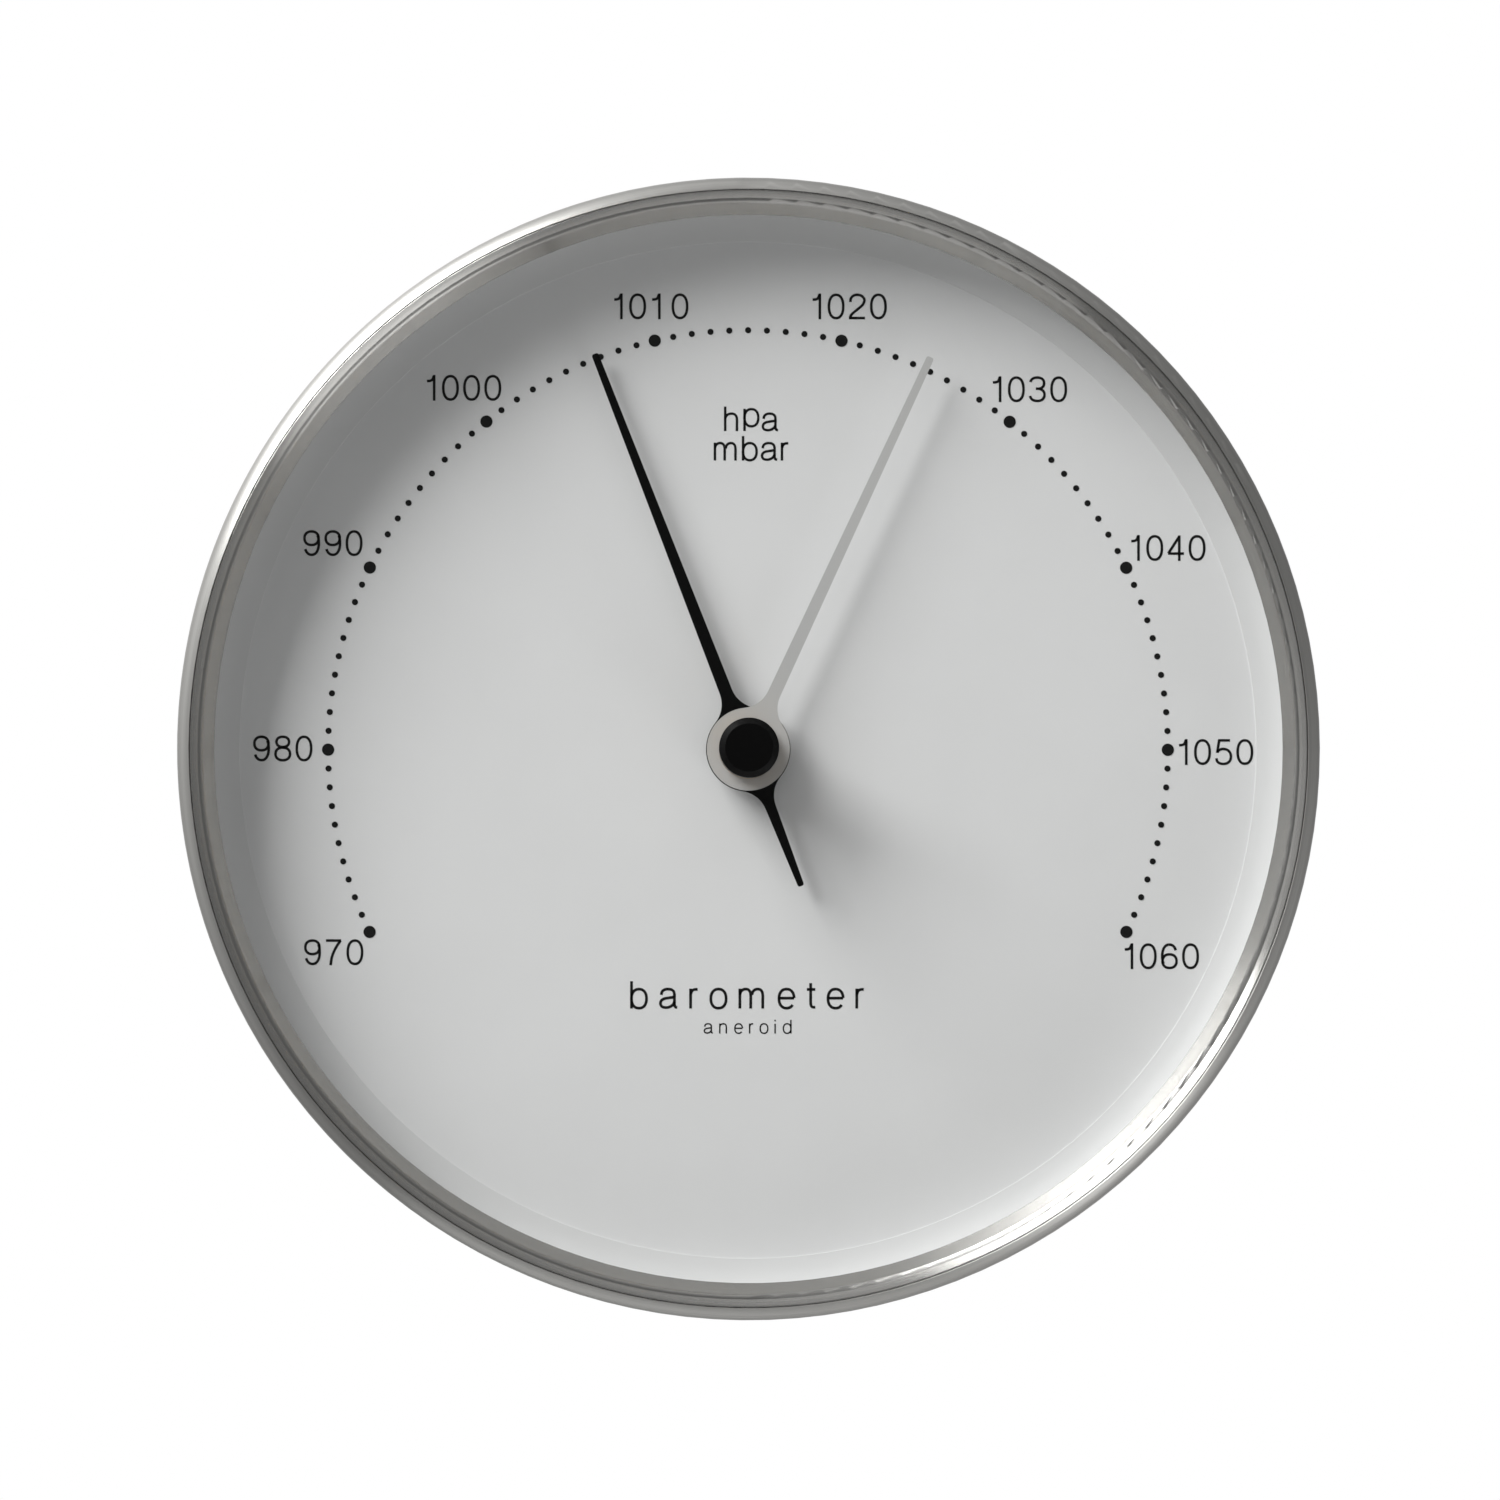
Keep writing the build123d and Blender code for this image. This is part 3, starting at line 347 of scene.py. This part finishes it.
def glyph_strokes():
    edge = STROKE / 2
    oval = (0.325, 0.5, 0.2775, 0.452)
    nine = [bow(0.32, 0.69, 0.2725, 0.262), bow(*oval, 38, -152)]
    small_a = [
        flow((0.07, 0.50), (0.11, 0.63), (0.22, 0.70), (0.33, 0.712), (0.45, 0.69), (0.53, 0.62),
             (0.555, 0.50), (0.555, 0.30), (0.56, 0.12), (0.60, 0.05), (0.66, 0.04)),
        flow((0.555, 0.45), (0.50, 0.415), (0.34, 0.39), (0.17, 0.355), (0.07, 0.28), (0.045, 0.17),
             (0.10, 0.07), (0.24, 0.035), (0.38, 0.06), (0.50, 0.14), (0.555, 0.25)),
    ]
    arch = flow((edge, 0.50), (0.09, 0.61), (0.18, 0.685), (0.30, 0.712), (0.42, 0.69), (0.50, 0.61),
                (0.53, 0.48), (0.53, 0.30), (0.53, 0.0))
    slim_arch = [(x * 0.832 + 0.008, y) for x, y in arch]
    return {
        "0": [bow(*oval)],
        "1": [[(0.345, 0), (0.345, 1)],
              flow((0.065, 0.765), (0.17, 0.77), (0.25, 0.80), (0.30, 0.87), (0.325, 0.96))],
        "2": [flow((0.06, 0.675), (0.075, 0.80), (0.17, 0.915), (0.33, 0.953), (0.49, 0.91), (0.59, 0.80),
                   (0.595, 0.69), (0.53, 0.56), (0.38, 0.42), (0.19, 0.27), (0.08, 0.15), (0.045, edge)),
              [(0.0, edge), (0.625, edge)]],
        "3": [bow(0.315, 0.735, 0.265, 0.218, 170, -80), [(0.26, 0.52), (0.38, 0.52)],
              bow(0.315, 0.284, 0.28, 0.237, 80, -172)],
        "4": [[(0.455, 0), (0.455, 0.985)], [(0.47, 0.965), (0.03, 0.29)], [(0.02, 0.283), (0.635, 0.283)]],
        "5": [[(0.57, 0.952), (0.115, 0.952)], [(0.15, 0.97), (0.075, 0.47)],
              flow((0.075, 0.50), (0.17, 0.585), (0.31, 0.62), (0.47, 0.58), (0.575, 0.47), (0.605, 0.32),
                   (0.57, 0.17), (0.46, 0.07), (0.31, 0.04), (0.16, 0.07), (0.07, 0.15), (0.045, 0.26))],
        "6": half_turn(nine, 0.65),
        "7": [[(0.02, 0.952), (0.61, 0.952)],
              flow((0.59, 0.95), (0.44, 0.73), (0.32, 0.50), (0.24, 0.25), (0.205, 0))],
        "8": [bow(0.325, 0.755, 0.242, 0.198), bow(0.325, 0.29, 0.28, 0.243)],
        "9": nine,
        "a": small_a,
        "b": [[(edge, 0), (edge, 1)], bow(0.325, 0.362, 0.277, 0.35)],
        "d": [[(0.60, 0), (0.60, 1)], bow(0.325, 0.362, 0.277, 0.35)],
        "e": [[(0.045, 0.38), (0.60, 0.38)], bow(0.323, 0.362, 0.277, 0.35, 3, 322)],
        "h": [[(edge, 0), (edge, 1)], arch],
        "i": [[(edge, 0), (edge, 0.715)], [(edge, 0.89), (edge, 1)]],
        "m": [[(edge, 0), (edge, 0.73)], slim_arch, [(x + 0.441, y) for x, y in slim_arch]],
        "n": [[(edge, 0), (edge, 0.73)], arch],
        "o": [bow(0.325, 0.362, 0.28, 0.35)],
        "p": [[(edge, 0), (edge, 0.91)], bow(0.33, 0.545, 0.283, 0.35)],
        "r": [[(edge, 0), (edge, 0.73)], flow((edge, 0.50), (0.09, 0.62), (0.17, 0.69), (0.31, 0.705))],
        "t": [flow((0.16, 0.93), (0.16, 0.60), (0.16, 0.20), (0.19, 0.08), (0.26, 0.045), (0.33, 0.05)),
              [(0.02, 0.70), (0.33, 0.70)]],
    }


ADVANCE = {"a": 0.807, "b": 0.78, "d": 0.79, "e": 0.76, "h": 0.79, "i": 0.29, "m": 1.15, "n": 0.79, "o": 0.77,
           "p": 0.757, "r": 0.46, "t": 0.46}
FIGURE_ADVANCE = 0.82
LEADING_ONE = 0.65  # a four-figure number's first 1 stands closer to the rest


def set_text(text, glyphs, tracking=0.0):
    """The strokes of a line of text, set from x = 0."""
    x = 0.0
    strokes = []
    for i, letter in enumerate(text):
        strokes += [[(px + x, py) for px, py in line] for line in glyphs[letter]]
        leading = letter == "1" and i == 0 and len(text) == 4
        x += LEADING_ONE if leading else ADVANCE.get(letter, FIGURE_ADVANCE)
        x += tracking
    return strokes


def placed(strokes, height, centre, middle=True):
    """Scales strokes to a height in mm and moves their ink's middle to centre. With middle false, centre
    gives the baseline's place in place of the height of the ink's middle."""
    xs = [x for line in strokes for x, _ in line]
    ys = [y for line in strokes for _, y in line]
    x0 = (min(xs) + max(xs)) / 2
    y0 = (min(ys) + max(ys)) / 2 if middle else 0.0
    return [
        [((x - x0) * height + centre[0], (y - y0) * height + centre[1]) for x, y in line] for line in strokes
    ]


def outline(line, width):
    """The two edges of a stroke, mitred at its corners, and whether it closes on itself."""
    mitre_limit = 1.5
    closed = math.dist(line[0], line[-1]) < 1e-6
    points = line[:-1] if closed else line
    count = len(points)
    edges = []
    for i, point in enumerate(points):
        before = points[(i - 1) % count] if closed or i else None
        after = points[(i + 1) % count] if closed or i < count - 1 else None
        runs = []
        if before is not None:
            runs.append((point[0] - before[0], point[1] - before[1]))
        if after is not None:
            runs.append((after[0] - point[0], after[1] - point[1]))
        units = [(dx / math.hypot(dx, dy), dy / math.hypot(dx, dy)) for dx, dy in runs]
        along = (sum(u[0] for u in units), sum(u[1] for u in units))
        size = math.hypot(*along)
        normal = (-along[1] / size, along[0] / size)
        mitre = len(units) / size  # 1 / cos of half the turn
        reach = width / 2 * min(mitre, mitre_limit)
        edges.append((
            (point[0] + normal[0] * reach, point[1] + normal[1] * reach),
            (point[0] - normal[0] * reach, point[1] - normal[1] * reach),
        ))
    return edges, closed


def print_on_dial(name, jobs, material, thickness=0.015):
    """One mesh of printed strokes lying on the dial. jobs are (strokes in mm, stroke width in mm)."""
    low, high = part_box("dial_plate")
    centre_x, centre_z = (low.x + high.x) / 2, (low.z + high.z) / 2
    face = low.y
    vertices, faces = [], []
    for strokes, width in jobs:
        for line in strokes:
            edges, closed = outline(line, width)
            first = len(vertices)
            for left, right in edges:
                for (x, z), lift in ((left, thickness), (right, thickness), (right, 0.0), (left, 0.0)):
                    vertices.append((centre_x + x * MM, face - lift * MM, centre_z + z * MM))
            count = len(edges)
            for i in range(count if closed else count - 1):
                a, b = first + 4 * i, first + 4 * ((i + 1) % count)
                for k in range(4):
                    n = (k + 1) % 4
                    faces.append((a + k, b + k, b + n, a + n))
            if not closed:
                last = first + 4 * (count - 1)
                faces.append((first, first + 1, first + 2, first + 3))
                faces.append((last + 3, last + 2, last + 1, last))
    mesh = bpy.data.meshes.new(name)
    mesh.from_pydata(vertices, [], faces)
    mesh.update()
    obj = bpy.data.objects.new(name, mesh)
    bpy.context.scene.collection.objects.link(obj)
    mesh.materials.append(material)
    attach(obj, CASE)


def dial_print(materials):
    glyphs = glyph_strokes()
    between_middles = 2.06  # mm, from the middle of a figure's top stroke to the middle of its bottom one
    middles_share = 0.905  # of a glyph's height that lies between them
    figure_height = between_middles / middles_share
    # where the middle of each number stands, in mm right of and above the dial's centre
    numbers = {
        970: (-36.5, -17.9), 980: (-41.0, 0.1), 990: (-36.6, 18.2), 1000: (-25.1, 31.9), 1010: (-8.6, 39.1),
        1020: (8.9, 39.1), 1030: (24.8, 31.8), 1040: (37.0, 17.8), 1050: (41.2, -0.2), 1060: (36.4, -18.2),
    }
    width = STROKE * figure_height
    jobs = []
    for reading, centre in numbers.items():
        jobs.append((placed(set_text(str(reading), glyphs), figure_height, centre), width))
    print_on_dial("scale_numbers", jobs, materials["black_ink"])

    unit_height = 2.16
    units = []
    for text, centre, baseline in (("hpa", 0.3, 28.1), ("mbar", 0.3, 25.5)):
        strokes = placed(set_text(text, glyphs), unit_height, (centre, baseline), middle=False)
        units.append((strokes, STROKE * unit_height))
    print_on_dial("unit_names", units, materials["black_ink"])

    words = []
    for text, height, tracking, baseline in (("barometer", 2.4, 0.29, -22.8), ("aneroid", 1.2, 0.32, -25.0)):
        strokes = placed(set_text(text, glyphs, tracking), height, (-0.05, baseline), middle=False)
        words.append((strokes, STROKE * height))
    print_on_dial("dial_words", words, materials["black_ink"])


# ---------------------------------------------------------------- stage
def area_light(name, target, clockwise, elevation, distance, size, power, colour=(1, 1, 1)):
    """A soft light in front of the dial: the angles, in degrees, are clockwise from the top and above the
    dial's plane. Size and distance are in metres, power in watts."""
    a, e = math.radians(clockwise), math.radians(elevation)
    toward = Vector((math.sin(a) * math.cos(e), -math.sin(e), math.cos(a) * math.cos(e)))
    lamp = bpy.data.lights.new(name, "AREA")
    lamp.shape = "RECTANGLE"
    lamp.size, lamp.size_y = size
    lamp.energy = power
    lamp.color = colour
    obj = bpy.data.objects.new(name, lamp)
    bpy.context.scene.collection.objects.link(obj)
    obj.location = target + toward * distance
    obj.rotation_euler = toward.to_track_quat("Z", "Y").to_euler()


def set_world(at_sides, from_front, beside_backdrop, from_backdrop, key_direction, lean, streak):
    """White behind the object. The light from all round dims towards the viewer, where a studio is dark. It
    is brighter towards the key light by the share lean, and dimmer away from it. It is brighter both ways
    along the key light's line by the share streak, and dimmer across it. Behind, it falls off beside a lit
    backdrop."""
    world = bpy.data.worlds.new("studio")
    bpy.context.scene.world = world
    world.use_nodes = True
    tree = world.node_tree
    tree.nodes.clear()

    def link(a, b):
        tree.links.new(a, b)

    shown = tree.nodes.new("ShaderNodeBackground")
    shown.inputs["Color"].default_value = (1, 1, 1, 1)
    shown.inputs["Strength"].default_value = 1.0
    direction = tree.nodes.new("ShaderNodeTexCoord").outputs["Generated"]
    split = tree.nodes.new("ShaderNodeSeparateXYZ")
    link(direction, split.inputs[0])
    toward_front = tree.nodes.new("ShaderNodeMapRange")
    toward_front.inputs["From Min"].default_value = 1.0
    toward_front.inputs["From Max"].default_value = -1.0
    link(split.outputs["Y"], toward_front.inputs["Value"])
    levels = tree.nodes.new("ShaderNodeValToRGB")
    link(toward_front.outputs[0], levels.inputs[0])
    backdrop, backdrop_edge, sides, front = 0.0, 0.16, 0.5, 1.0  # from straight behind to straight in front
    stops = levels.color_ramp.elements
    stops.new(backdrop_edge)
    stops.new(sides)
    for stop, place, level in zip(
        stops, (backdrop, backdrop_edge, sides, front), (from_backdrop, beside_backdrop, at_sides, from_front)
    ):
        stop.position = place
        stop.color = (level, level, level, 1)
    toward_key = tree.nodes.new("ShaderNodeVectorMath")
    toward_key.operation = "DOT_PRODUCT"
    link(direction, toward_key.inputs[0])
    toward_key.inputs[1].default_value = key_direction
    share = toward_key.outputs["Value"]  # d, then lean + 2 streak d, then 1 - streak + lean d + 2 streak d d
    for factor, offset in ((2 * streak, lean), (share, 1 - streak)):
        step = tree.nodes.new("ShaderNodeMath")
        step.operation = "MULTIPLY_ADD"
        link(share, step.inputs[0])
        if isinstance(factor, float):
            step.inputs[1].default_value = factor
        else:
            link(factor, step.inputs[1])
        step.inputs[2].default_value = offset
        share = step.outputs[0]
    light = tree.nodes.new("ShaderNodeBackground")
    link(levels.outputs["Color"], light.inputs["Color"])
    link(share, light.inputs["Strength"])
    pick = tree.nodes.new("ShaderNodeMixShader")
    link(tree.nodes.new("ShaderNodeLightPath").outputs["Is Camera Ray"], pick.inputs[0])
    link(light.outputs[0], pick.inputs[1])
    link(shown.outputs[0], pick.inputs[2])
    link(pick.outputs[0], tree.nodes.new("ShaderNodeOutputWorld").inputs["Surface"])


def make_floor():
    """A plain pale floor, well under the instrument, which hangs at the height of a hook."""
    drop, half = 1.2, 0.9
    mesh = bpy.data.meshes.new("floor")
    corners = [(-half, -half, -drop), (half, -half, -drop), (half, half, -drop), (-half, half, -drop)]
    mesh.from_pydata(corners, [], [(0, 1, 2, 3)])
    floor = bpy.data.objects.new("floor", mesh)
    bpy.context.scene.collection.objects.link(floor)
    mesh.materials.append(lacquer("floor_paint", grey(0.8), texture=400.0, depth=1e-4))


def make_camera(target):
    """Almost square on to the dial: a little from the left and from below."""
    from_left, from_below, distance = 0.5, 1.0, 0.9
    frame_width = 131.0 * MM  # that the picture takes in at the rim
    # the instrument hangs a little above and left of the picture's middle
    target = target + Vector((0.09, 0.0, -0.17)) * MM
    a, e = math.radians(-from_left), math.radians(-from_below)
    back = Vector((math.sin(a) * math.cos(e), -math.cos(a) * math.cos(e), math.sin(e)))
    data = bpy.data.cameras.new("camera")
    data.sensor_width = 36.0
    data.lens = data.sensor_width * distance / frame_width
    data.clip_start = 0.01
    camera = bpy.data.objects.new("camera", data)
    bpy.context.scene.collection.objects.link(camera)
    camera.location = target + back * distance
    camera.rotation_euler = back.to_track_quat("Z", "Y").to_euler()
    bpy.context.scene.camera = camera


def make_stage():
    rim_low, rim_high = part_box("bezel_ring")
    target = (rim_low + rim_high) / 2
    target.y = rim_low.y
    make_camera(target)
    make_floor()
    key_clockwise = -43
    a = math.radians(key_clockwise)
    set_world(at_sides=0.72, from_front=0.25, beside_backdrop=0.43, from_backdrop=1.5,
              key_direction=(math.sin(a), 0.0, math.cos(a)), lean=0.45, streak=0.45)
    area_light("key", target, key_clockwise, elevation=27, distance=1.1, size=(0.62, 0.7), power=15.1,
               colour=(1.0, 0.998, 0.99))
    area_light("fill", target, key_clockwise + 180, elevation=26, distance=1.1, size=(0.5, 0.5), power=1.4)
    view = bpy.context.scene.view_settings
    view.view_transform = "Standard"
    view.look = "None"


# ---------------------------------------------------------------- the instrument
def build():
    materials = make_materials()
    slots = {part["node"]: part["material_slot"] for part in frame["record"]["subparts"]}
    for name, obj in frame["nodes"].items():
        paint(obj, materials[slots[name]])
    dial_print(materials)


build()
make_stage()
